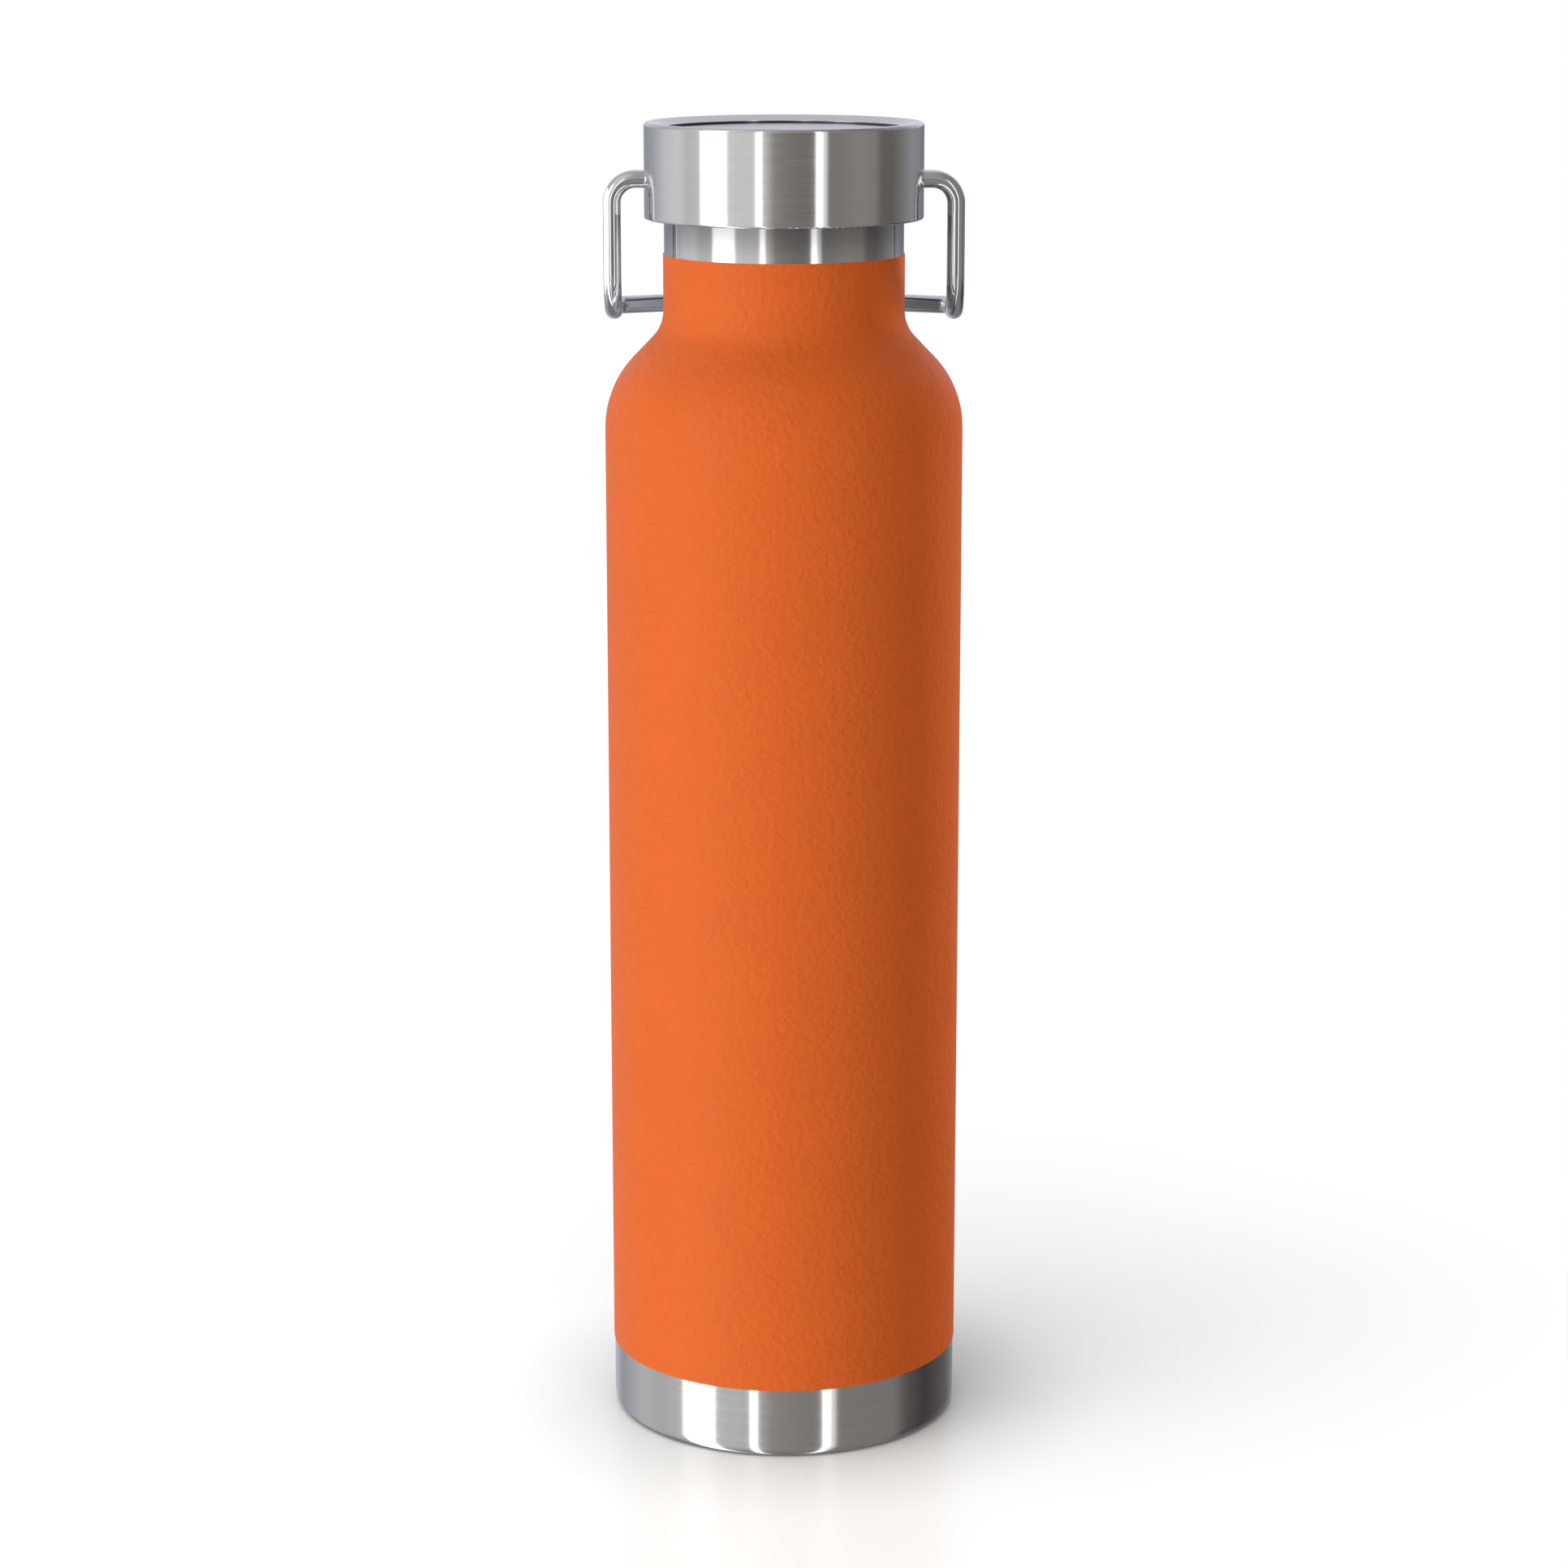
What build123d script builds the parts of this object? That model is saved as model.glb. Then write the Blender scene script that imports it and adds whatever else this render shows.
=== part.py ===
from build123d import *
import math
import os

# Vacuum-insulated steel bottle with a screw lid and a wire bail handle.
# Millimetres, +Z up. The origin is the centre of the standing ring, on the surface that
# the bottle stands on. The bail hangs behind the neck, towards +Y.

# ---- Driving dimensions ----
HEIGHT = 270.8  # standing ring to the top of the lid
BODY_R = 36.4  # outside of the coat on the barrel
NECK_R = 24.45  # outside of the coat on the neck
LID_R = 28.2
COAT = 0.2
OUTER_WALL = 0.5
INNER_WALL = 0.4
LID_WALL = 0.6
BOND_GAP = 0.01  # between pieces that are bonded face to face
FIT_GAP = 0.05  # between pieces that are pushed together

# ---- Outside of the bottle ----
SHOULDER_Z = 209.4  # where the barrel ends
SHOULDER_TURN = 44  # degrees from the barrel to the cone of the shoulder
CROWN_R = 20.3  # rounding from barrel to cone
ROOT_R = 7.75  # rounding from cone to neck
COAT_LOW_Z = 14.7
COAT_HIGH_Z = 244.5
STEEL_R = BODY_R - COAT
BASE_CORNER_R = 2.4
RING_INNER_R = 31.0  # inner edge of the standing ring

# ---- Inner flask ----
FLASK_R = 31.6  # outside of the inner wall on the barrel
FLASK_NECK_R = 22.9
FLASK_SHOULDER_Z = 208.5
FLASK_CROWN_R = 15.5
FLASK_ROOT_R = 8.0
FLASK_LOW_Z = 8.0
FLASK_CORNER_R = 9.0
FLASK_SEAM_Z = 22.0  # weld between the flask and its base
RIM_Z = 253.4  # top of the mouth rim
RIM_HEIGHT = 1.0
RIM_OUTER_EDGE_R = 0.5
RIM_INNER_EDGE_R = 0.4
COPPER = 0.15
COPPER_HIGH_Z = 236.0

# ---- Thread: three starts, so one and a half turns clear the mouth ----
THREAD_STARTS = 3
THREAD_LEAD = 12.0
PLUG_R = 20.7
PLUG_THREAD_R = 22.0
PLUG_THREAD_Z = 240.4
PLUG_THREAD_RISE = 10.0
MOUTH_R = FLASK_NECK_R - INNER_WALL
MOUTH_THREAD_R = 21.3
MOUTH_THREAD_Z = PLUG_THREAD_Z + THREAD_LEAD / THREAD_STARTS / 2  # half a pitch off the plug's
MOUTH_THREAD_RISE = 9.0
RIDGE_ROOT = 1.6  # width of a thread ridge at its foot
RIDGE_CREST = 0.9
RIDGE_SUNK = 0.15  # how far a ridge's foot lies in its wall

# ---- Lid ----
LID_RIM_Z = 251.6
LID_TOP_EDGE_R = 0.7
LID_RIM_EDGE_R = 0.4
CAP_INSIDE_R = 0.4
RECESS_EDGE_R = 0.3
RECESS_R = 24.5
DISH_R = 26.8  # where the cap's top starts to slope down to the recess
DISH_DEPTH = 1.1
DISH_UNDERSIDE_R = 26.95
LIP_Z = HEIGHT - 1.75  # lower edge of the steel lip round the recess
DISC_TOP_Z = HEIGHT - 1.62
DISC_R = RECESS_R - 0.1
DISC_THICK = 0.5
DISC_EDGE_R = 0.12
TAPE_THICK = 0.2
TAPE_INNER_R = 14.0
TAPE_OUTER_R = DISC_R - 0.5
SEAT_Z = DISC_TOP_Z - DISC_THICK - TAPE_THICK - 2 * BOND_GAP
CORE_R = LID_R - LID_WALL - FIT_GAP
CORE_TOP_THICK = 2.4
CORE_EDGE_R = 0.4
CHAMBER_R = 20.5
SKIRT_INNER_R = 25.7
SKIRT_LOW_Z = 252.6
FLANGE_LOW_Z = 254.9
FLANGE_HIGH_Z = 255.9
FLANGE_R = 25.2
PLUG_INNER_R = 18.6
PLUG_LOW_Z = 239.2
COVER_THICK = 1.6
COVER_EDGE_R = 0.8
SPIGOT_HEIGHT = 1.0
GASKET_INNER_R = 21.05
GASKET_OUTER_R = 24.4
GASKET_EDGE_R = 0.3

# ---- Bail and its pivots ----
PIVOT_Z = 259.4
WIRE_R = 1.8
WIRE_HOLE_R = 2.15  # in the steel cap
ARM_X = 34.7  # centre line of each arm
BAR_Z = 232.3  # centre line of the cross bar
BAR_CORNER_Y = 18.15
BAR_MIDDLE_Y = 26.9
BAR_BEND_X = 14.0
TOP_BEND_R = 4.8
BACK_BEND_R = 8.0
CORNER_BEND_R = 3.4
BAR_BEND_R = 40.0
WIRE_END_X = 17.6
WIRE_END_CHAMFER = 0.3
BUSH_BORE_R = WIRE_R + 0.05
BUSH_R = 2.7
BUSH_FLANGE_R = 3.1
BUSH_X = 20.2  # inner face of the bush
BUSH_FLANGE = 0.8
BUSH_OUTER_X = 27.4
RETAINER_X = 19.2
RETAINER_THICK = 0.6
RETAINER_R = 3.0
RETAINER_SLOTS = 3
SLOT_LENGTH = 1.0
SLOT_WIDTH = 0.5

# ---- Base ----
PLATE_LOW_Z = 1.9
PLATE_HIGH_Z = 2.4
PLATE_LAP_R = 33.0  # outer edge of the plate, welded inside the standing ring
STEP_LOW_R = 31.3  # foot of the step up to the plate, on its upper side
STEP_HIGH_R = 30.7
STEP_WALL = 0.45  # width of the step's sloping wall
DIMPLE_LOW_R = 8.0
DIMPLE_HIGH_R = 6.0
DIMPLE_WALL = 0.27
PORT_R = 1.2
DIMPLE_Z = 3.7
SEAL_R = 4.2
SEAL_THICK = 1.0
SEAL_EDGE_R = 0.8
BASE_COVER_R = 30.0
BASE_COVER_THICK = 0.5
BASE_COVER_CHAMFER = 0.2
GROOVE_OUTER_R = 24.0
GROOVE_INNER_R = 23.2
GROOVE_DEPTH = 0.2
GETTER_X = 18.5
GETTER_R = 5.0
GETTER_THICK = 1.8
GETTER_CHAMFER = 0.3
CLIP_HALF = 8.0
CLIP_WIDTH = 4.0
CLIP_THICK = 0.3
CLIP_FOOT = 2.0  # length of each foot on the plate
CLIP_RAMP = 0.4


def shoulder(barrel_r, crown_r, shoulder_z, neck_r, root_r, low_z, high_z):
    """Draws a wall's line up the barrel, over the shoulder and up the neck. Returns its ends."""
    turn = math.radians(SHOULDER_TURN)
    cone_run = barrel_r - neck_r - (crown_r + root_r) * (1 - math.cos(turn))
    barrel = Line((barrel_r, low_z), (barrel_r, shoulder_z))
    crown = JernArc(barrel @ 1, (0, 1), crown_r, SHOULDER_TURN)
    cone = Line(crown @ 1, (crown @ 1) + (crown % 1) * (cone_run / math.sin(turn)))
    root = JernArc(cone @ 1, cone % 1, root_r, -SHOULDER_TURN)
    neck = Line(root @ 1, (neck_r, high_z))
    return barrel @ 0, neck @ 1


def outer_line(inset, low_z, high_z):
    """The bottle's outside, moved inwards by inset."""
    return shoulder(
        BODY_R - inset, CROWN_R - inset, SHOULDER_Z, NECK_R - inset, ROOT_R + inset, low_z, high_z
    )


def flask_line(inset, low_z, high_z):
    """The inner flask's outside, moved inwards by inset."""
    return shoulder(
        FLASK_R - inset,
        FLASK_CROWN_R - inset,
        FLASK_SHOULDER_Z,
        FLASK_NECK_R - inset,
        FLASK_ROOT_R + inset,
        low_z,
        high_z,
    )


def base_line(barrel_r, corner_r, low_z, inner_r):
    """Draws a flat bottom from inner_r outwards and the rounding up to the barrel. Returns its ends."""
    floor = Line((inner_r, low_z), (barrel_r - corner_r, low_z))
    corner = JernArc(floor @ 1, (1, 0), corner_r, 90)
    return floor @ 0, corner @ 1


def nearest_corner(section, radius, height):
    """The corner of a section that is nearest to that radius and height."""
    return section.vertices().sort_by_distance((radius, height))[0]


def thread_ridge(foot_r, crest_r, low_z, rise):
    """One helical ridge with a trapezium section, from its foot in the wall to its crest."""
    sunk = math.copysign(RIDGE_SUNK, foot_r - crest_r)
    with BuildPart() as ridge:
        with BuildLine() as route:
            Helix(pitch=THREAD_LEAD, height=rise, radius=foot_r, center=(0, 0, low_z))
        with BuildSketch(Plane(origin=(foot_r, 0, low_z), x_dir=(1, 0, 0), z_dir=(0, -1, 0))):
            with BuildLine():
                Polyline(
                    (sunk, -RIDGE_ROOT / 2),
                    (crest_r - foot_r, -RIDGE_CREST / 2),
                    (crest_r - foot_r, RIDGE_CREST / 2),
                    (sunk, RIDGE_ROOT / 2),
                    close=True,
                )
            make_face()
        sweep(path=route.wires()[0], is_frenet=True)
    return ridge.part


def pivot_plane(side, distance):
    """Plane across the pivot axis, facing outwards. side is -1 on the left and 1 on the right."""
    return Plane(origin=(side * distance, 0, PIVOT_Z), x_dir=(0, 1, 0), z_dir=(side, 0, 0))


# ---- Bottle body ----

with BuildPart() as outer_shell:
    with BuildSketch(Plane.XZ):
        with BuildLine():
            foot_outside, _ = base_line(STEEL_R, BASE_CORNER_R, 0, RING_INNER_R)
            foot_inside, _ = base_line(
                STEEL_R - OUTER_WALL, BASE_CORNER_R - OUTER_WALL, OUTER_WALL, RING_INNER_R
            )
            _, top_outside = outer_line(COAT, BASE_CORNER_R, RIM_Z - RIM_HEIGHT)
            _, top_inside = outer_line(COAT + OUTER_WALL, BASE_CORNER_R, RIM_Z - RIM_HEIGHT)
            Line(foot_outside, foot_inside)
            Line(top_outside, top_inside)
        make_face()
    revolve(axis=Axis.Z)

with BuildPart() as powder_coat:
    with BuildSketch(Plane.XZ):
        with BuildLine():
            low_outside, top_outside = outer_line(0, COAT_LOW_Z, COAT_HIGH_Z)
            low_inside, top_inside = outer_line(COAT - BOND_GAP, COAT_LOW_Z, COAT_HIGH_Z)
            Line(low_outside, low_inside)
            Line(top_outside, top_inside)
        make_face()
    revolve(axis=Axis.Z)

with BuildPart() as outer_base:
    with BuildSketch(Plane.XZ):
        with BuildLine():
            Polyline(
                (PLATE_LAP_R, OUTER_WALL),
                (PLATE_LAP_R, 2 * OUTER_WALL),
                (STEP_LOW_R, 2 * OUTER_WALL),
                (STEP_HIGH_R, PLATE_HIGH_Z),
                (DIMPLE_LOW_R, PLATE_HIGH_Z),
                (DIMPLE_HIGH_R, DIMPLE_Z + OUTER_WALL),
                (PORT_R, DIMPLE_Z + OUTER_WALL),
                (PORT_R, DIMPLE_Z),
                (DIMPLE_HIGH_R - DIMPLE_WALL, DIMPLE_Z),
                (DIMPLE_LOW_R - DIMPLE_WALL, PLATE_LOW_Z),
                (STEP_HIGH_R - STEP_WALL, PLATE_LOW_Z),
                (STEP_LOW_R - STEP_WALL, OUTER_WALL),
                close=True,
            )
        make_face()
    revolve(axis=Axis.Z)

with BuildPart() as vacuum_seal:
    with BuildSketch(Plane.XY.offset(DIMPLE_Z - BOND_GAP)):
        Circle(SEAL_R)
    extrude(amount=-SEAL_THICK)
    fillet(vacuum_seal.edges().filter_by(GeomType.CIRCLE).sort_by(Axis.Z)[0], SEAL_EDGE_R)

with BuildPart() as base_cover:
    with BuildSketch(Plane.XY.offset(PLATE_LOW_Z - BOND_GAP)):
        Circle(BASE_COVER_R)
    extrude(amount=-BASE_COVER_THICK)
    cover_rim = base_cover.edges().filter_by(GeomType.CIRCLE).sort_by(Axis.Z)[0]
    chamfer(cover_rim, BASE_COVER_CHAMFER)
    with BuildSketch(Plane.XY.offset(PLATE_LOW_Z - BOND_GAP - BASE_COVER_THICK)):
        Circle(GROOVE_OUTER_R)
        Circle(GROOVE_INNER_R, mode=Mode.SUBTRACT)
    extrude(amount=GROOVE_DEPTH, mode=Mode.SUBTRACT)

with BuildPart() as getter:
    with BuildSketch(Plane.XY.offset(PLATE_HIGH_Z + BOND_GAP)):
        with Locations((GETTER_X, 0)):
            Circle(GETTER_R)
    extrude(amount=GETTER_THICK)
    chamfer(getter.faces().sort_by(Axis.Z)[-1].edges(), GETTER_CHAMFER)

with BuildPart() as getter_clip:
    clip_foot_z = PLATE_HIGH_Z + BOND_GAP
    clip_top_z = clip_foot_z + GETTER_THICK + BOND_GAP
    ramp_foot_x = CLIP_HALF - CLIP_FOOT
    ramp_top_x = ramp_foot_x - CLIP_RAMP
    with BuildSketch(Plane(origin=(GETTER_X, 0, 0), x_dir=(1, 0, 0), z_dir=(0, -1, 0))):
        with BuildLine():
            Polyline(
                (CLIP_HALF, clip_foot_z),
                (ramp_foot_x, clip_foot_z),
                (ramp_top_x, clip_top_z),
                (0, clip_top_z),
                (0, clip_top_z + CLIP_THICK),
                (ramp_top_x + CLIP_THICK, clip_top_z + CLIP_THICK),
                (ramp_foot_x + CLIP_THICK, clip_foot_z + CLIP_THICK),
                (CLIP_HALF, clip_foot_z + CLIP_THICK),
                close=True,
            )
        make_face()
        mirror(about=Plane.YZ)
    extrude(amount=CLIP_WIDTH / 2, both=True)

mouth_ridge = thread_ridge(MOUTH_R, MOUTH_THREAD_R, MOUTH_THREAD_Z, MOUTH_THREAD_RISE)

with BuildPart() as inner_flask:
    with BuildSketch(Plane.XZ) as flask_section:
        with BuildLine():
            seam_outside, neck_outside = flask_line(0, FLASK_SEAM_Z, RIM_Z - RIM_HEIGHT)
            seam_inside, neck_inside = flask_line(INNER_WALL, FLASK_SEAM_Z, RIM_Z)
            Line(seam_outside, seam_inside)
            rim_low = Line(neck_outside, (NECK_R - COAT, RIM_Z - RIM_HEIGHT))
            rim_side = Line(rim_low @ 1, (NECK_R - COAT, RIM_Z))
            Line(rim_side @ 1, neck_inside)
        make_face()
        fillet(nearest_corner(flask_section, NECK_R - COAT, RIM_Z), RIM_OUTER_EDGE_R)
        fillet(nearest_corner(flask_section, MOUTH_R, RIM_Z), RIM_INNER_EDGE_R)
    revolve(axis=Axis.Z)
    with PolarLocations(0, THREAD_STARTS):
        add(mouth_ridge)

with BuildPart() as inner_base:
    with BuildSketch(Plane.XZ):
        with BuildLine():
            axis_outside, wall_outside = base_line(FLASK_R, FLASK_CORNER_R, FLASK_LOW_Z, 0)
            axis_inside, wall_inside = base_line(
                FLASK_R - INNER_WALL, FLASK_CORNER_R - INNER_WALL, FLASK_LOW_Z + INNER_WALL, 0
            )
            seam_outside = Line(wall_outside, (FLASK_R, FLASK_SEAM_Z)) @ 1
            seam_inside = Line(wall_inside, (FLASK_R - INNER_WALL, FLASK_SEAM_Z)) @ 1
            Line(axis_outside, axis_inside)
            Line(seam_outside, seam_inside)
        make_face()
    revolve(axis=Axis.Z)

with BuildPart() as copper_layer:
    with BuildSketch(Plane.XZ):
        with BuildLine():
            copper_ends = []
            for grow in (BOND_GAP, COPPER):
                axis_point, corner_top = base_line(
                    FLASK_R + grow, FLASK_CORNER_R + grow, FLASK_LOW_Z - grow, 0
                )
                _, neck_point = flask_line(-grow, corner_top.Y, COPPER_HIGH_Z)
                copper_ends.append((axis_point, neck_point))
            Line(copper_ends[0][0], copper_ends[1][0])
            Line(copper_ends[0][1], copper_ends[1][1])
        make_face()
    revolve(axis=Axis.Z)

# ---- Lid ----

with BuildPart() as lid_shell:
    with BuildSketch(Plane.XZ) as cap_section:
        with BuildLine():
            Polyline(
                (LID_R - LID_WALL, LID_RIM_Z),
                (LID_R, LID_RIM_Z),
                (LID_R, HEIGHT),
                (DISH_R, HEIGHT),
                (RECESS_R, HEIGHT - DISH_DEPTH),
                (RECESS_R, LIP_Z),
                (DISH_UNDERSIDE_R, HEIGHT - LID_WALL),
                (LID_R - LID_WALL, HEIGHT - LID_WALL),
                close=True,
            )
        make_face()
        fillet(nearest_corner(cap_section, LID_R, HEIGHT), LID_TOP_EDGE_R)
        fillet(nearest_corner(cap_section, LID_R - LID_WALL, HEIGHT - LID_WALL), CAP_INSIDE_R)
        fillet(nearest_corner(cap_section, LID_R, LID_RIM_Z), LID_RIM_EDGE_R)
        fillet(nearest_corner(cap_section, DISH_R, HEIGHT), RECESS_EDGE_R)
    revolve(axis=Axis.Z)
    with Locations((0, 0, PIVOT_Z)):
        Cylinder(WIRE_HOLE_R, 3 * LID_R, rotation=(0, 90, 0), mode=Mode.SUBTRACT)

with BuildPart() as lid_core:
    with BuildSketch(Plane.XZ) as core_section:
        core_high_z = HEIGHT - LID_WALL - FIT_GAP
        with BuildLine():
            Polyline(
                (SKIRT_INNER_R, SKIRT_LOW_Z),
                (CORE_R, SKIRT_LOW_Z),
                (CORE_R, core_high_z),
                (DISH_UNDERSIDE_R, core_high_z),
                (RECESS_R, LIP_Z - FIT_GAP),
                (RECESS_R, SEAT_Z),
                (0, SEAT_Z),
                (0, SEAT_Z - CORE_TOP_THICK),
                (CHAMBER_R, SEAT_Z - CORE_TOP_THICK),
                (CHAMBER_R, FLANGE_HIGH_Z + BOND_GAP),
                (SKIRT_INNER_R, FLANGE_HIGH_Z + BOND_GAP),
                close=True,
            )
        make_face()
        fillet(nearest_corner(core_section, CORE_R, core_high_z), CORE_EDGE_R)
    revolve(axis=Axis.Z)
    for side in (-1, 1):
        with BuildSketch(pivot_plane(side, BUSH_X)):
            Circle(BUSH_FLANGE_R + FIT_GAP)
        extrude(amount=BUSH_FLANGE, mode=Mode.SUBTRACT)
        with BuildSketch(pivot_plane(side, CHAMBER_R)):
            Circle(BUSH_R + BOND_GAP)
        extrude(amount=LID_R - CHAMBER_R, mode=Mode.SUBTRACT)

with BuildPart() as disc_tape:
    with BuildSketch(Plane.XY.offset(SEAT_Z + BOND_GAP)):
        Circle(TAPE_OUTER_R)
        Circle(TAPE_INNER_R, mode=Mode.SUBTRACT)
    extrude(amount=TAPE_THICK)

with BuildPart() as lid_top_disc:
    with BuildSketch(Plane.XY.offset(DISC_TOP_Z)):
        Circle(DISC_R)
    extrude(amount=-DISC_THICK)
    fillet(lid_top_disc.edges().filter_by(GeomType.CIRCLE).sort_by(Axis.Z)[-1], DISC_EDGE_R)

plug_ridge = thread_ridge(PLUG_R, PLUG_THREAD_R, PLUG_THREAD_Z, PLUG_THREAD_RISE)

with BuildPart() as threaded_plug:
    with BuildSketch(Plane.XZ):
        with BuildLine():
            Polyline(
                (PLUG_INNER_R, PLUG_LOW_Z),
                (PLUG_R, PLUG_LOW_Z),
                (PLUG_R, FLANGE_LOW_Z),
                (FLANGE_R, FLANGE_LOW_Z),
                (FLANGE_R, FLANGE_HIGH_Z),
                (PLUG_INNER_R, FLANGE_HIGH_Z),
                close=True,
            )
        make_face()
    revolve(axis=Axis.Z)
    with PolarLocations(0, THREAD_STARTS):
        add(plug_ridge)

with BuildPart() as plug_cover:
    with BuildSketch(Plane.XY.offset(PLUG_LOW_Z - BOND_GAP)):
        Circle(PLUG_R)
    extrude(amount=-COVER_THICK)
    with BuildSketch(Plane.XY.offset(PLUG_LOW_Z - BOND_GAP)):
        Circle(PLUG_INNER_R - FIT_GAP)
    extrude(amount=SPIGOT_HEIGHT)
    fillet(plug_cover.edges().filter_by(GeomType.CIRCLE).sort_by(Axis.Z)[0], COVER_EDGE_R)

with BuildPart() as plug_foam:
    foam_low_z = PLUG_LOW_Z + SPIGOT_HEIGHT + FIT_GAP
    with BuildSketch(Plane.XY.offset(foam_low_z)):
        Circle(PLUG_INNER_R - 2 * FIT_GAP)
    extrude(amount=FLANGE_HIGH_Z - FIT_GAP - foam_low_z)

with BuildPart() as sealing_gasket:
    gasket_low_z = RIM_Z + 2 * FIT_GAP
    with BuildSketch(Plane.XY.offset(gasket_low_z)):
        Circle(GASKET_OUTER_R)
        Circle(GASKET_INNER_R, mode=Mode.SUBTRACT)
    extrude(amount=FLANGE_LOW_Z - FIT_GAP - gasket_low_z)
    fillet(sealing_gasket.edges().filter_by(GeomType.CIRCLE), GASKET_EDGE_R)

# ---- Bail and its pivots ----


def bail_route():
    """The wire's corners, from its right end to its left end."""
    right = [
        (WIRE_END_X, 0, PIVOT_Z),
        (ARM_X, 0, PIVOT_Z),
        (ARM_X, 0, BAR_Z),
        (ARM_X, BAR_CORNER_Y, BAR_Z),
        (BAR_BEND_X, BAR_MIDDLE_Y, BAR_Z),
    ]
    return right + [(-x, y, z) for x, y, z in reversed(right)]


with BuildPart() as bail_handle:
    half_bends = [TOP_BEND_R, BACK_BEND_R, CORNER_BEND_R, BAR_BEND_R]
    with BuildLine() as bail_line:
        FilletPolyline(*bail_route(), radius=half_bends + half_bends[::-1])
    with BuildSketch(Plane(origin=(WIRE_END_X, 0, PIVOT_Z), z_dir=(1, 0, 0))):
        Circle(WIRE_R)
    sweep(path=bail_line.wires()[0])
    chamfer(bail_handle.faces().filter_by(Axis.X).edges(), WIRE_END_CHAMFER)


def make_bush(side):
    """Flanged nylon bush that one end of the wire turns in."""
    with BuildPart() as bush:
        with BuildSketch(pivot_plane(side, BUSH_X)):
            Circle(BUSH_FLANGE_R)
            Circle(BUSH_BORE_R, mode=Mode.SUBTRACT)
        extrude(amount=BUSH_FLANGE)
        with BuildSketch(pivot_plane(side, BUSH_X + BUSH_FLANGE)):
            Circle(BUSH_R)
            Circle(BUSH_BORE_R, mode=Mode.SUBTRACT)
        extrude(amount=BUSH_OUTER_X - BUSH_X - BUSH_FLANGE)
    return bush


def make_retainer(side):
    """Push-on washer with slots, which keeps one end of the wire in the lid."""
    with BuildPart() as retainer:
        with BuildSketch(pivot_plane(side, RETAINER_X)):
            Circle(RETAINER_R)
            Circle(WIRE_R + BOND_GAP, mode=Mode.SUBTRACT)
            with PolarLocations(WIRE_R, RETAINER_SLOTS):
                Rectangle(SLOT_LENGTH, SLOT_WIDTH, mode=Mode.SUBTRACT)
        extrude(amount=RETAINER_THICK)
    return retainer


# ---- Write one file for each piece ----

pieces = {
    "outer_shell": outer_shell,
    "outer_base": outer_base,
    "base_cover": base_cover,
    "vacuum_seal": vacuum_seal,
    "getter": getter,
    "getter_clip": getter_clip,
    "inner_flask": inner_flask,
    "inner_base": inner_base,
    "copper_layer": copper_layer,
    "powder_coat": powder_coat,
    "lid_shell": lid_shell,
    "lid_core": lid_core,
    "lid_top_disc": lid_top_disc,
    "disc_tape": disc_tape,
    "threaded_plug": threaded_plug,
    "plug_cover": plug_cover,
    "plug_foam": plug_foam,
    "sealing_gasket": sealing_gasket,
    "bail_handle": bail_handle,
}
for side, side_name in ((-1, "left"), (1, "right")):
    pieces["pivot_bush_" + side_name] = make_bush(side)
    pieces["wire_retainer_" + side_name] = make_retainer(side)

os.makedirs("parts", exist_ok=True)
for name, piece in pieces.items():
    piece.part.label = name
    export_step(piece.part, f"parts/{name}.step")
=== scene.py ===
"""Looks of the insulated bottle: materials, studio light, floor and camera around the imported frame."""

import math

import bpy
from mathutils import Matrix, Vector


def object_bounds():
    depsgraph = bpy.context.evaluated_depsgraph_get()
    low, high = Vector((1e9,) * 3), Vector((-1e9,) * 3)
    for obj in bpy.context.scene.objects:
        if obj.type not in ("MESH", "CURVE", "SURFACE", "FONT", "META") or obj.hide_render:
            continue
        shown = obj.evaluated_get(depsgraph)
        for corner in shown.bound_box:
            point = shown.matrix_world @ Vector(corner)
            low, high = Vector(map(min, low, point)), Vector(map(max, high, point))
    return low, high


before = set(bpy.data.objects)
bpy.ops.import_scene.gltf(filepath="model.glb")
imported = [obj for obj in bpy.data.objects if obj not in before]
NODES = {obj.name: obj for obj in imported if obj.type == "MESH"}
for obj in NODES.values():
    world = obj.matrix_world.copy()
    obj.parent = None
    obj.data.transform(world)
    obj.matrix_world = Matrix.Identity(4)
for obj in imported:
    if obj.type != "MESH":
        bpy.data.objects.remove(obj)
CAD_BOX = [list(corner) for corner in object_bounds()]

# ---- Camera ----
CAMERA_DISTANCE = 0.79396  # in front of the bottle's axis
CAMERA_HEIGHT = 0.3134
CAMERA_PITCH = 12.688  # degrees below the horizon
CAMERA_LENS = 89.77
SENSOR_WIDTH = 36.0

# ---- Studio light ----
# Azimuths are in degrees round the bottle: 0 towards the camera, positive to the right.
# A stop is an azimuth, a radiance and a tint, and each ramp goes round at one range of elevations.
LIGHT_SCALE = 2.5  # radiance of white in the colour ramps below
COOL = (0.95, 0.98, 1.07)
PLAIN = (1.0, 1.0, 1.0)
WARM = (1.08, 1.0, 0.93)
WALL_STOPS = [
    (-180, 0.56, COOL),
    (-166, 0.40, COOL),
    (-156, 0.36, COOL),
    (-135, 0.52, COOL),
    (-112, 0.86, PLAIN),
    (-96, 0.95, PLAIN),
    (-86, 0.74, PLAIN),
    (-44, 0.92, PLAIN),
    (-22, 0.92, PLAIN),
    (-14, 0.72, PLAIN),
    (-8, 0.30, WARM),
    (4, 0.225, WARM),
    (18, 0.19, WARM),
    (44, 0.265, WARM),
    (64, 0.34, WARM),
    (80, 0.31, WARM),
    (87, 0.165, WARM),
    (99, 0.16, WARM),
    (112, 0.25, WARM),
    (128, 0.38, COOL),
    (146, 0.32, COOL),
    (160, 0.20, COOL),
    (170, 0.34, COOL),
    (180, 0.56, COOL),
]
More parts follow.
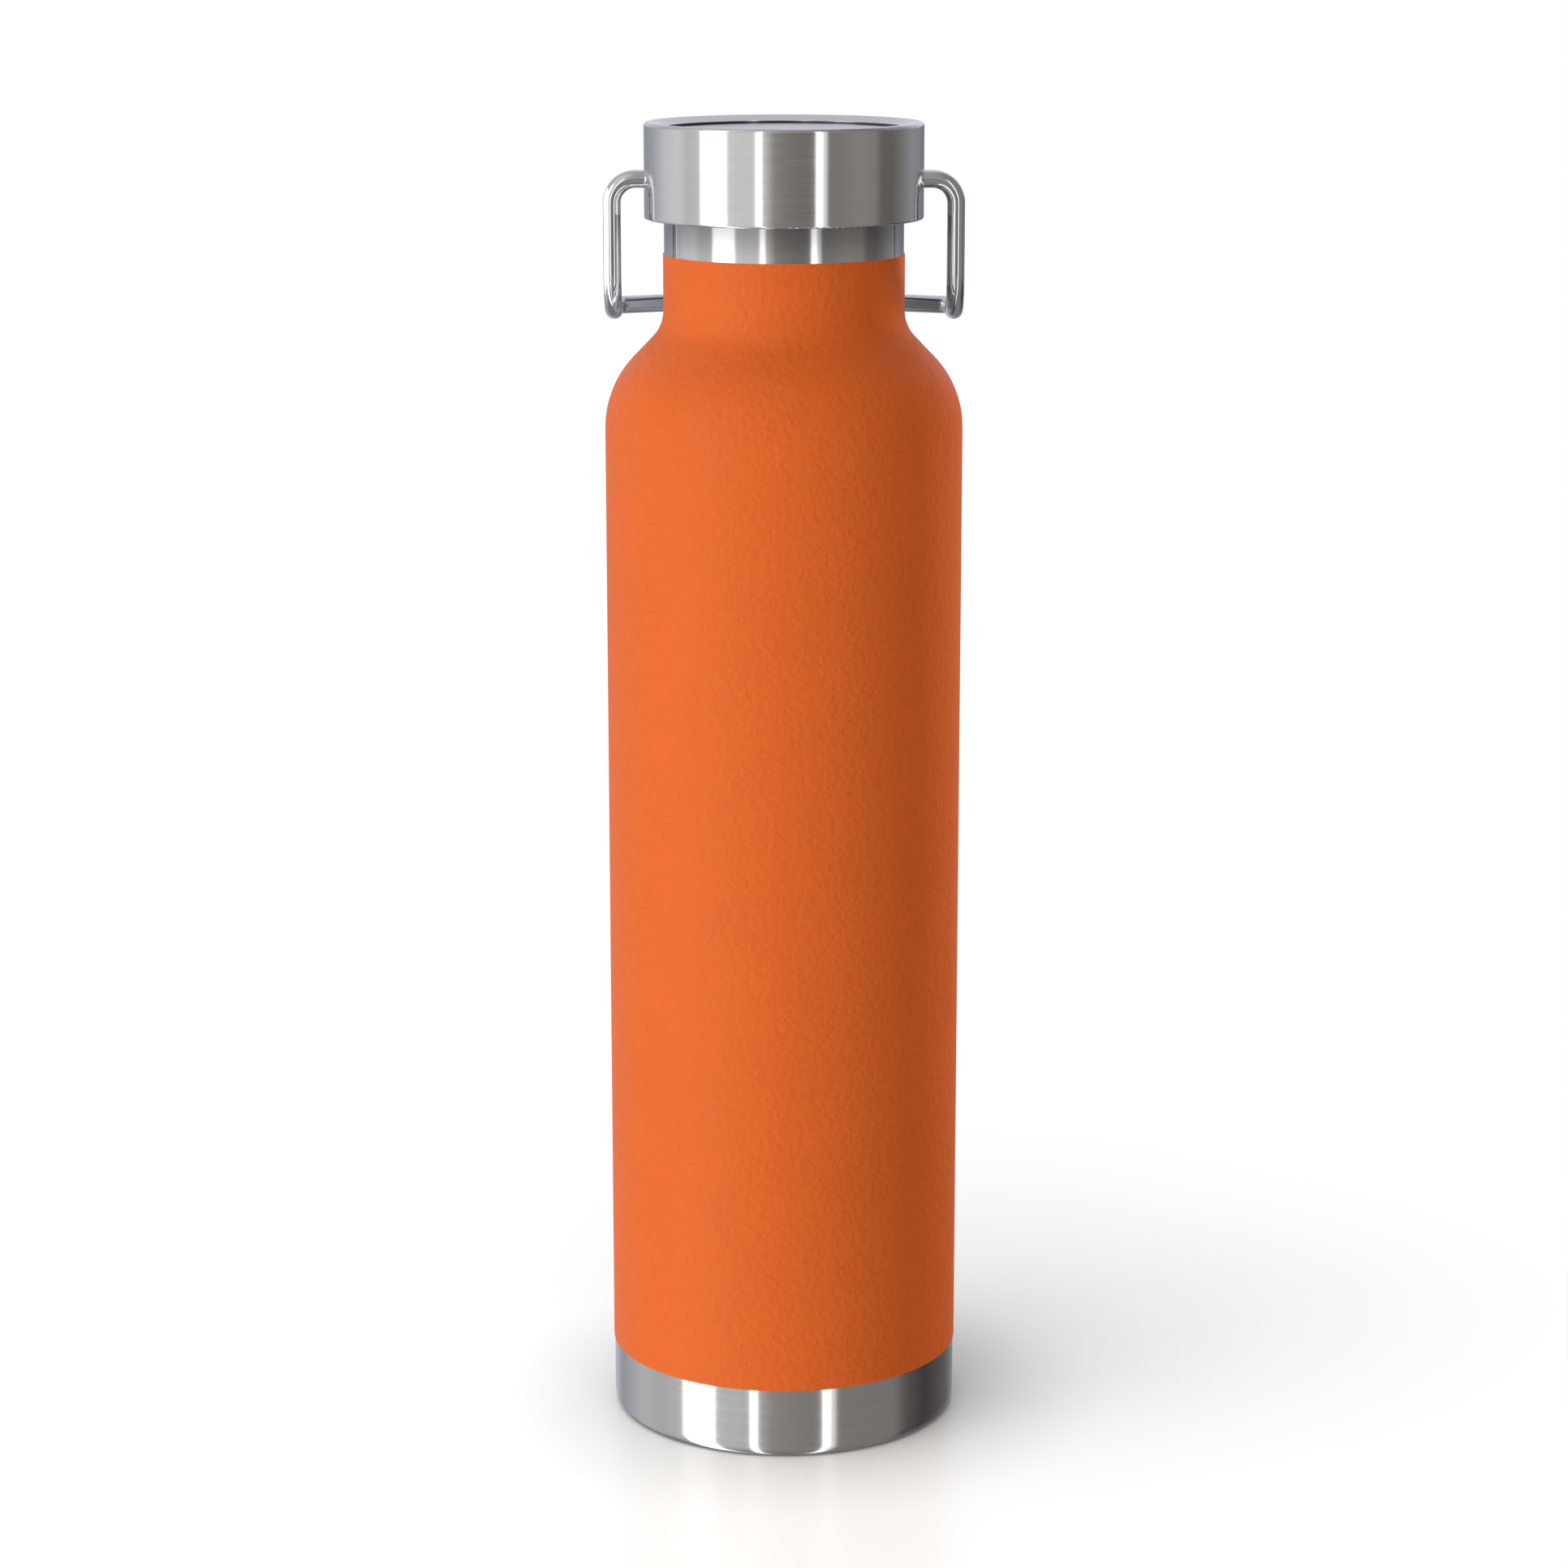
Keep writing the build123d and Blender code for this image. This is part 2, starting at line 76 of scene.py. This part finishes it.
LOW_STOPS = [
    (-180, 0.55, COOL),
    (-160, 0.60, COOL),
    (-144, 0.42, COOL),
    (-128, 0.56, COOL),
    (-112, 0.68, PLAIN),
    (-94, 0.62, PLAIN),
    (-80, 0.68, PLAIN),
    (-32, 0.72, PLAIN),
    (-16, 0.55, PLAIN),
    (-8, 0.37, WARM),
    (18, 0.29, WARM),
    (80, 0.26, WARM),
    (92, 0.12, WARM),
    (112, 0.06, WARM),
    (144, 0.14, WARM),
    (160, 0.26, COOL),
    (180, 0.45, COOL),
]
HIGH_STOPS = [
    (-180, 0.80, COOL),
    (-150, 0.74, COOL),
    (-120, 0.62, COOL),
    (-60, 0.92, PLAIN),
    (-20, 0.70, PLAIN),
    (0, 0.42, WARM),
    (40, 0.32, WARM),
    (95, 0.25, WARM),
    (130, 0.36, COOL),
    (155, 0.78, COOL),
    (180, 0.80, COOL),
]
CEILING = (0.50, 0.48, 0.46)
GROUND = (0.27, 0.26, 0.25)
# First and last azimuth, and radiance, of each upright strip light. The last is a dimmer part of the third.
STRIPS = [
    (-72.0, -48.0, 2.5),
    (-22.6, -17.8, 2.5),
    (26.0, 31.0, 2.4),
    (31.8, 35.6, 1.0),
]
STRIP_EDGE = 0.8  # degrees over which a strip's edge fades
# Elevations in degrees between which one part of the surroundings blends into the next.
GROUND_TO_LOW = (-50.0, -28.0)
LOW_TO_WALL = (-15.0, -7.0)
WALL_TO_HIGH = (-1.0, 4.0)
HIGH_TO_CEILING = (58.0, 85.0)
STRIPS_END = (25.0, 40.0)

# Suns. The floor has one of its own, so that its shadow doesn't depend on the light on the bottle.
FLOOR_LIGHT = 1.95
FLOOR_LIGHT_TILT = (24.0, -36.0)  # degrees from overhead, and turn about the vertical
FLOOR_LIGHT_ANGLE = 56.0  # degrees across, which softens its shadow
FILL_LIGHT = 0.17
FILL_LIGHT_TILT = (65.0, -35.0)
FILL_LIGHT_ANGLE = 40.0
# Panels: power in watts, azimuth, and in metres the distance from the axis, the size and the middle's height.
RIM_LIGHT = 0.8
RIM_LIGHT_AZIMUTH = 130.0
RIM_LIGHT_DISTANCE = 0.35
RIM_LIGHT_SIZE = (0.05, 0.17)
RIM_LIGHT_HEIGHT = 0.17
WIRE_LIGHT = 0.6
WIRE_LIGHT_AZIMUTH = -100.0
WIRE_LIGHT_DISTANCE = 0.4
WIRE_LIGHT_SIZE = (0.45, 0.3)
WIRE_LIGHT_HEIGHT = 0.25


class Graph:
    """Adds nodes to one node tree and links them."""

    def __init__(self, tree):
        self.tree = tree
        tree.nodes.clear()

    def add(self, kind, inputs=None, **settings):
        """Makes a node. An input is a plain value, or another node's output socket."""
        node = self.tree.nodes.new("ShaderNode" + kind)
        for key, value in settings.items():
            setattr(node, key, value)
        for key, value in (inputs or {}).items():
            if isinstance(value, bpy.types.NodeSocket):
                self.tree.links.new(value, node.inputs[key])
            else:
                node.inputs[key].default_value = value
        return node

    def math(self, operation, first, second=0.0):
        """Output of one arithmetic step."""
        return self.add("Math", {0: first, 1: second}, operation=operation).outputs[0]

    def ramp(self, factor, stops):
        """Colour of a ramp whose stops are (position, colour)."""
        node = self.add("ValToRGB", {"Fac": factor})
        elements = node.color_ramp.elements
        while len(elements) > 1:
            elements.remove(elements[-1])
        for index, (position, value) in enumerate(stops):
            element = elements[0] if index == 0 else elements.new(position)
            element.position = position
            element.color = (*value, 1.0)
        return node.outputs["Color"]

    def mix(self, factor, first, second, blend_type="MIX"):
        """Mixed colour."""
        node = self.add("Mix", data_type="RGBA", blend_type=blend_type, clamp_result=False)
        for socket, value in ((node.inputs[0], factor), (node.inputs[6], first), (node.inputs[7], second)):
            if isinstance(value, bpy.types.NodeSocket):
                self.tree.links.new(value, socket)
            elif isinstance(value, (int, float)):
                socket.default_value = value
            else:
                socket.default_value = (*value, 1.0)
        return node.outputs[2]

    def smooth(self, value, low, high):
        """0 below low, 1 above high, and smooth between."""
        steps = {0: value, 1: low, 2: high, 3: 0.0, 4: 1.0}
        return self.add("MapRange", steps, interpolation_type="SMOOTHSTEP").outputs[0]


def around(stops):
    """Ramp stops for azimuths in degrees, radiances and tints."""
    return [
        ((azimuth + 180) / 360, tuple(radiance * channel / LIGHT_SCALE for channel in tint))
        for azimuth, radiance, tint in stops
    ]


def strip_stops():
    """Ramp stops that are black between the strip lights, which may share an edge."""
    stops = [(-180, 0.0, PLAIN)]
    following = [low for low, _, _ in STRIPS[1:]] + [180]
    for (low, high, radiance), next_low in zip(STRIPS, following):
        stops += [(low - STRIP_EDGE, 0.0, PLAIN), (low, radiance, PLAIN), (high, radiance, PLAIN)]
        if next_low - high > 2 * STRIP_EDGE:
            stops.append((high + STRIP_EDGE, 0.0, PLAIN))
    return around(stops)


def make_world():
    """Studio surroundings: backdrops by azimuth at three heights, upright strip lights, ground and ceiling.

    The camera itself sees plain white.
    """
    world = bpy.data.worlds.new("studio")
    bpy.context.scene.world = world
    world.use_nodes = True
    g = Graph(world.node_tree)
    direction = g.add("TexCoord").outputs["Generated"]
    axes = g.add("SeparateXYZ", {0: direction}).outputs
    azimuth = g.math("ARCTAN2", axes["X"], g.math("MULTIPLY", axes["Y"], -1.0))
    turn = g.math("ADD", g.math("DIVIDE", azimuth, 2 * math.pi), 0.5)
    elevation = g.math("MULTIPLY", g.math("ARCSINE", axes["Z"]), 180 / math.pi)
    low, wall, high = (g.ramp(turn, around(stops)) for stops in (LOW_STOPS, WALL_STOPS, HIGH_STOPS))
    backdrop = g.mix(g.smooth(elevation, *LOW_TO_WALL), low, wall)
    ground = tuple(channel / LIGHT_SCALE for channel in GROUND)
    backdrop = g.mix(g.smooth(elevation, *GROUND_TO_LOW), ground, backdrop)
    backdrop = g.mix(g.smooth(elevation, *WALL_TO_HIGH), backdrop, high)
    ceiling = tuple(channel / LIGHT_SCALE for channel in CEILING)
    backdrop = g.mix(g.smooth(elevation, *HIGH_TO_CEILING), backdrop, ceiling)
    strip_fade = g.math("SUBTRACT", 1.0, g.smooth(elevation, *STRIPS_END))
    strips = g.mix(strip_fade, (0.0, 0.0, 0.0), g.ramp(turn, strip_stops()))
    lit = g.add("Background", {"Color": g.mix(1.0, backdrop, strips, "LIGHTEN"), "Strength": LIGHT_SCALE})
    white = g.add("Background", {"Color": (1.0, 1.0, 1.0, 1.0), "Strength": 1.0})
    seen = g.add("LightPath").outputs["Is Camera Ray"]
    shader = g.add("MixShader", {0: seen, 1: lit.outputs[0], 2: white.outputs[0]})
    g.add("OutputWorld", {"Surface": shader.outputs[0]})


def add_light(name, kind, power, receivers, mirrored=False, **settings):
    """A light that falls on those objects only, and adds no highlight unless it's mirrored."""
    light = bpy.data.lights.new(name, kind)
    light.energy = power
    for key, value in settings.items():
        setattr(light, key, value)
    lamp = bpy.data.objects.new(name, light)
    bpy.context.scene.collection.objects.link(lamp)
    lamp.visible_glossy = mirrored
    lamp.visible_camera = False
    lit = bpy.data.collections.new(name + "_receivers")
    for receiver in receivers:
        lit.objects.link(receiver)
    lamp.light_linking.receiver_collection = lit
    return lamp


def make_lights(floor):
    """A wide sun for the floor, a soft fill, a strip at the bottle's back right and a panel for the wire."""
    for name, power, angle, (tilt, azimuth), receivers in (
        ("floor_light", FLOOR_LIGHT, FLOOR_LIGHT_ANGLE, FLOOR_LIGHT_TILT, [floor]),
        ("fill_light", FILL_LIGHT, FILL_LIGHT_ANGLE, FILL_LIGHT_TILT, NODES.values()),
    ):
        lamp = add_light(name, "SUN", power, receivers, angle=math.radians(angle))
        lamp.rotation_euler = (math.radians(tilt), 0.0, math.radians(azimuth))
    for name, power, azimuth, distance, (width, tall), middle, receivers, mirrored in (
        (
            "rim_light", RIM_LIGHT, RIM_LIGHT_AZIMUTH, RIM_LIGHT_DISTANCE,
            RIM_LIGHT_SIZE, RIM_LIGHT_HEIGHT, NODES.values(), False,
        ),
        (
            "wire_light", WIRE_LIGHT, WIRE_LIGHT_AZIMUTH, WIRE_LIGHT_DISTANCE,
            WIRE_LIGHT_SIZE, WIRE_LIGHT_HEIGHT, [NODES["bail_handle"]], True,
        ),
    ):
        shape = {"shape": "RECTANGLE", "size": width, "size_y": tall}
        lamp = add_light(name, "AREA", power, receivers, mirrored, **shape)
        turn = math.radians(azimuth)
        lamp.location = (distance * math.sin(turn), -distance * math.cos(turn), middle)
        lamp.rotation_euler = (math.pi / 2, 0.0, turn)


# ---- Materials ----

# Noise scales are in cells a metre, and depths of relief in metres.
COAT_COLOR = (0.83, 0.145, 0.018)
COAT_SPECULAR = 0.19
COAT_ROUGHNESS = 0.46
COAT_DEEPER = 0.965  # factor on the colour of the deeper patches
COAT_CELLS = 820.0
COAT_SWIRL = 420.0  # bends the cells, as in leather
COAT_SWIRL_REACH = 0.0016
COAT_FINE = 2600.0
COAT_PATCHES = 60.0
COAT_RELIEF = 0.00024
# Brushing, as cells a metre across the lines and cells a radian along them.
BRUSH_LINES = (9000.0, 2.5, 9000.0)
BRUSH_BANDS = (900.0, 0.7, 900.0)
BRUSH_PITS = 3200.0
BRUSH_LINE_SHARE = 0.6  # of the grain, and the bands have the rest
BRUSH_PIT_DEPTH = 0.6  # beside the grain's
BRUSH_DARKER = 0.92  # factor on the colour of the darker lines
# Painted shade: the bare neck's colour is darkened close under the lid, in place of the lid's shade there.
NECK_SHADE = (0.55, 0.55, 0.56)
NECK_SHADE_LOW = 0.2435
NECK_SHADE_HIGH = 0.2515
# The brushing draws the strip lights down over the rounded foot of the base band.
FOOT_TILT = 0.3  # share of the foot's tilt that its reflections show
FOOT_LOW = 0.0003
FOOT_HIGH = 0.004
# Painted shade: the cut edge of the lid's lip, where it meets the disc, is coloured dark and made rougher, in
# place of the shade in the gap there.
SEAM_R = 0.02462
SEAM_HIGH = 0.2696
SEAM_SHADE_COLOR = (0.10, 0.10, 0.11)
SEAM_ROUGHNESS = 0.25


def surface(slot, base_color, roughness, metallic=0.0, **fixed):
    """Clears the slot's material and returns its graph and shader, with constants on its own sockets."""
    material = bpy.data.materials[slot]
    material.use_nodes = True
    g = Graph(material.node_tree)
    shader = g.add("BsdfPrincipled")
    g.add("OutputMaterial", {"Surface": shader.outputs[0]})
    shader.inputs["Base Color"].default_value = (*base_color, 1.0)
    shader.inputs["Roughness"].default_value = roughness
    shader.inputs["Metallic"].default_value = metallic
    for name, value in fixed.items():
        shader.inputs[name.replace("_", " ")].default_value = value
    return g, shader


def place(g):
    """Position on the object in metres."""
    return g.add("TexCoord").outputs["Object"]


def noise(g, vector, scale, detail=2.0):
    """Noise from 0 to 1."""
    inputs = {"Vector": vector, "Scale": scale, "Detail": detail, "Roughness": 0.5}
    return g.add("TexNoise", inputs).outputs["Fac"]


def spread(g, value, low, high):
    """The middle of a noise's range, 0.3 to 0.7, spread from low to high."""
    return g.add("MapRange", {0: value, 1: 0.3, 2: 0.7, 3: low, 4: high}).outputs[0]


def link(g, output, shader, name):
    """Drives one of the shader's inputs."""
    g.tree.links.new(output, shader.inputs[name])


def bump(g, shader, height, depth, normal=None):
    """Gives the shader relief of that depth, on another normal than the surface's own if there is one."""
    inputs = {"Height": height, "Distance": depth, "Strength": 1.0}
    if normal is not None:
        inputs["Normal"] = normal
    link(g, g.add("Bump", inputs).outputs[0], shader, "Normal")


def turned(g):
    """Position as (radius, azimuth in radians, height), so that noise can run round the axis."""
    axes = g.add("SeparateXYZ", {0: place(g)}).outputs
    radius = g.math("SQRT", g.math("ADD", g.math("POWER", axes[0], 2.0), g.math("POWER", axes[1], 2.0)))
    azimuth = g.math("ARCTAN2", axes[0], axes[1])
    return g.add("CombineXYZ", {0: radius, 1: azimuth, 2: axes[2]}).outputs[0]


def foot_normal(g, height):
    """The surface's normal, with part of its tilt taken out on the rounded foot of the base band."""
    facing = g.add("NewGeometry").outputs["Normal"]
    level = g.add("VectorMath", {0: facing, 1: (1.0, 1.0, FOOT_TILT)}, operation="MULTIPLY").outputs[0]
    above = g.math("GREATER_THAN", height, FOOT_LOW)
    foot = g.math("MULTIPLY", above, g.math("LESS_THAN", height, FOOT_HIGH))
    normal = g.add("Mix", {0: foot, 4: facing, 5: level}, data_type="VECTOR")
    return g.add("VectorMath", {0: normal.outputs[1]}, operation="NORMALIZE").outputs[0]


def brushed(slot, base_color, roughness, relief, anisotropic, shaded=False, seamed=False):
    """Steel brushed on a lathe: fine lines round the axis, which draw highlights out across them.

    The shaded one has painted shade on the neck close under the lid and a levelled foot, and the seamed one
    painted shade on a dark edge round the disc.
    """
    g, shader = surface(slot, base_color, roughness, 1.0, Anisotropic=anisotropic, Anisotropic_Rotation=0.25)
    link(g, g.add("Tangent", direction_type="RADIAL", axis="Z").outputs[0], shader, "Tangent")
    position = turned(g)
    radius, _, height = g.add("SeparateXYZ", {0: position}).outputs
    lines = noise(g, g.add("Mapping", {"Vector": position, "Scale": BRUSH_LINES}).outputs[0], 1.0, 3.0)
    bands = noise(g, g.add("Mapping", {"Vector": position, "Scale": BRUSH_BANDS}).outputs[0], 1.0)
    lines = g.math("MULTIPLY", lines, BRUSH_LINE_SHARE)
    bands = g.math("MULTIPLY", bands, 1 - BRUSH_LINE_SHARE)
    grain = g.math("ADD", lines, bands)
    darker = tuple(channel * BRUSH_DARKER for channel in base_color)
    color = g.mix(spread(g, grain, 0.0, 1.0), darker, base_color)
    gloss = spread(g, grain, roughness - 0.025, roughness + 0.03)
    if shaded:
        # Painted shade: the neck's colour is multiplied by NECK_SHADE towards the lid above it.
        lid_shade = g.smooth(height, NECK_SHADE_LOW, NECK_SHADE_HIGH)
        color = g.mix(lid_shade, color, g.mix(1.0, color, NECK_SHADE, "MULTIPLY"))
    if seamed:
        # Painted shade: the lip's cut edge inside the disc's rim is darkened and roughened, for the shade in
        # the seam.
        inside = g.math("LESS_THAN", radius, SEAM_R)
        seam_shade = g.math("MULTIPLY", inside, g.math("LESS_THAN", height, SEAM_HIGH))
        color = g.mix(seam_shade, color, SEAM_SHADE_COLOR)
        gloss = g.math("ADD", gloss, g.math("MULTIPLY", seam_shade, SEAM_ROUGHNESS))
    link(g, color, shader, "Base Color")
    link(g, gloss, shader, "Roughness")
    pits = g.math("MULTIPLY", noise(g, place(g), BRUSH_PITS), BRUSH_PIT_DEPTH)
    rough = g.math("ADD", grain, pits)
    bump(g, shader, rough, relief, foot_normal(g, height) if shaded else None)


def powder_coat():
    """Orange powder coat with a fine leathery relief."""
    g, shader = surface("powder_coat", COAT_COLOR, COAT_ROUGHNESS, Specular_IOR_Level=COAT_SPECULAR)
    position = place(g)
    swirl = g.add("TexNoise", {"Vector": position, "Scale": COAT_SWIRL}).outputs["Color"]
    warp = g.add("VectorMath", {0: swirl, 1: (COAT_SWIRL_REACH,) * 3}, operation="MULTIPLY").outputs[0]
    moved = g.add("VectorMath", {0: position, 1: warp}, operation="ADD").outputs[0]
    cells = g.add("TexVoronoi", {"Vector": moved, "Scale": COAT_CELLS}, feature="SMOOTH_F1").outputs["Distance"]
    fine = noise(g, position, COAT_FINE)
    height = g.math("ADD", g.math("MULTIPLY", cells, 0.8), g.math("MULTIPLY", fine, 0.3))
    bump(g, shader, height, COAT_RELIEF)
    patch = noise(g, position, COAT_PATCHES, 4.0)
    deeper = tuple(channel * COAT_DEEPER for channel in COAT_COLOR)
    link(g, g.mix(spread(g, patch, 0.0, 1.0), deeper, COAT_COLOR), shader, "Base Color")
    link(g, spread(g, fine, COAT_ROUGHNESS - 0.04, COAT_ROUGHNESS + 0.04), shader, "Roughness")


def moulded(slot, base_color, roughness, grain_scale, relief, **fixed):
    """Moulded plastic or rubber with a fine grain."""
    g, shader = surface(slot, base_color, roughness, **fixed)
    position = place(g)
    grain = noise(g, position, grain_scale, 3.0)
    wide = noise(g, position, grain_scale / 18)
    lighter = tuple(min(1.0, channel * 1.12) for channel in base_color)
    link(g, g.mix(spread(g, wide, 0.0, 1.0), base_color, lighter), shader, "Base Color")
    link(g, spread(g, grain, roughness - 0.06, roughness + 0.06), shader, "Roughness")
    bump(g, shader, grain, relief)


def polished(slot, base_color, roughness, grain_scale=1400.0, wide_scale=120.0, relief=4e-7):
    """Polished or electropolished metal with faint drawing marks."""
    g, shader = surface(slot, base_color, roughness, 1.0)
    grain = noise(g, place(g), grain_scale, 3.0)
    wide = noise(g, place(g), wide_scale)
    darker = tuple(channel * 0.9 for channel in base_color)
    link(g, g.mix(spread(g, wide, 0.0, 1.0), darker, base_color), shader, "Base Color")
    link(g, spread(g, grain, roughness * 0.7, roughness * 1.3), shader, "Roughness")
    bump(g, shader, grain, relief)


def beaded(slot, base_color, seam_color, roughness, bead_scale, relief):
    """Expanded foam, with domed beads and darker seams."""
    g, shader = surface(slot, base_color, roughness)
    beads = g.add("TexVoronoi", {"Vector": place(g), "Scale": bead_scale}).outputs["Distance"]
    link(g, g.mix(beads, base_color, seam_color), shader, "Base Color")
    bump(g, shader, beads, -relief)


def make_materials():
    """Every slot's material.

    After its colours a row has its roughness, a grain scale where it's moulded or beaded, its relief, and
    where it's brushed how far it draws highlights out.
    """
    powder_coat()
    brushed("brushed_steel", (0.62, 0.62, 0.625), 0.15, 8e-7, 0.9, shaded=True)
    brushed("lid_steel", (0.63, 0.63, 0.635), 0.15, 8e-7, 0.9, seamed=True)
    brushed("disc_steel", (0.62, 0.62, 0.63), 0.26, 8e-7, 0.5)
    brushed("base_steel", (0.58, 0.58, 0.60), 0.30, 2e-6, 0.4)
    brushed("flask_steel", (0.60, 0.60, 0.61), 0.28, 2e-6, 0.4)
    polished("spring_steel", (0.50, 0.51, 0.53), 0.32)
    polished("polished_wire", (0.66, 0.665, 0.68), 0.05)
    polished("copper", (0.88, 0.45, 0.30), 0.22)
    polished("getter_alloy", (0.22, 0.22, 0.23), 0.6)
    moulded("seal_glass", (0.10, 0.11, 0.10), 0.12, 500.0, 1e-5)
    moulded("dark_plastic", (0.045, 0.046, 0.052), 0.42, 3000.0, 1.2e-5)
    moulded("plug_plastic", (0.030, 0.031, 0.034), 0.40, 2600.0, 1.4e-5)
    moulded("adhesive_tape", (0.10, 0.10, 0.11), 0.65, 1500.0, 1e-5)
    moulded("silicone", (0.74, 0.75, 0.76), 0.38, 1800.0, 1e-5, Subsurface_Weight=0.25)
    moulded("nylon", (0.78, 0.76, 0.68), 0.34, 2200.0, 8e-6, Subsurface_Weight=0.15)
    beaded("foam", (0.88, 0.87, 0.83), (0.72, 0.71, 0.66), 0.8, 420.0, 0.0003)


# ---- Floor and camera ----

FLOOR_SIZE = 12.0
FLOOR_GREY = 0.93
FLOOR_ROUGHNESS = 0.3
FLOOR_CONTACT = 0.035  # metres from the bottle's foot that its contact shadow reaches
FLOOR_CONTACT_DARK = 0.35  # share of the floor's grey that is left where the bottle touches it
FLOOR_TINT = (1.02, 1.0, 0.965)  # cancels the cool light in the shadow
FLOOR_FADE = (0.13, 0.22)  # metres from the axis between which the floor fades to pure white


def make_floor():
    """Pale floor with a contact shadow, which fades to the white backdrop further out.

    Reflections pass through it, so the strip lights run down to the foot of the base band.
    """
    bpy.ops.mesh.primitive_plane_add(size=FLOOR_SIZE, location=(0.0, 0.0, CAD_BOX[0][2]))
    floor = bpy.context.object
    floor.name = "studio_floor"
    material = bpy.data.materials.new("studio_floor")
    floor.data.materials.append(material)
    material.use_nodes = True
    g = Graph(material.node_tree)
    nearby = g.add("AmbientOcclusion", {"Distance": FLOOR_CONTACT}, samples=8).outputs["AO"]
    greys = {0: nearby, 1: 0.0, 2: 1.0, 3: FLOOR_GREY * FLOOR_CONTACT_DARK, 4: FLOOR_GREY}
    color = g.mix(g.add("MapRange", greys).outputs[0], (0.0, 0.0, 0.0), FLOOR_TINT)
    shader = g.add("BsdfPrincipled", {"Base Color": color, "Roughness": FLOOR_ROUGHNESS})
    white = g.add("Emission", {"Color": (1.0, 1.0, 1.0, 1.0), "Strength": 1.0})
    distance = g.add("VectorMath", {0: place(g)}, operation="LENGTH").outputs["Value"]
    away = g.smooth(distance, *FLOOR_FADE)
    mixed = g.add("MixShader", {0: away, 1: shader.outputs[0], 2: white.outputs[0]})
    g.add("OutputMaterial", {"Surface": mixed.outputs[0]})
    floor.visible_glossy = False
    floor.visible_diffuse = False
    floor.visible_shadow = False
    return floor


def make_camera():
    """The scene's camera, in front of the bottle and looking a little down."""
    data = bpy.data.cameras.new("camera")
    data.lens = CAMERA_LENS
    data.sensor_width = SENSOR_WIDTH
    camera = bpy.data.objects.new("camera", data)
    bpy.context.scene.collection.objects.link(camera)
    camera.location = (0.0, -CAMERA_DISTANCE, CAMERA_HEIGHT)
    camera.rotation_euler = (math.radians(90 - CAMERA_PITCH), 0.0, 0.0)
    bpy.context.scene.camera = camera


bpy.context.scene.view_settings.view_transform = "Standard"
make_camera()
make_world()
make_lights(make_floor())
make_materials()
NODES["powder_coat"].visible_glossy = False  # the polished wire shows no orange
NODES["powder_coat"].visible_diffuse = False  # nor does the floor
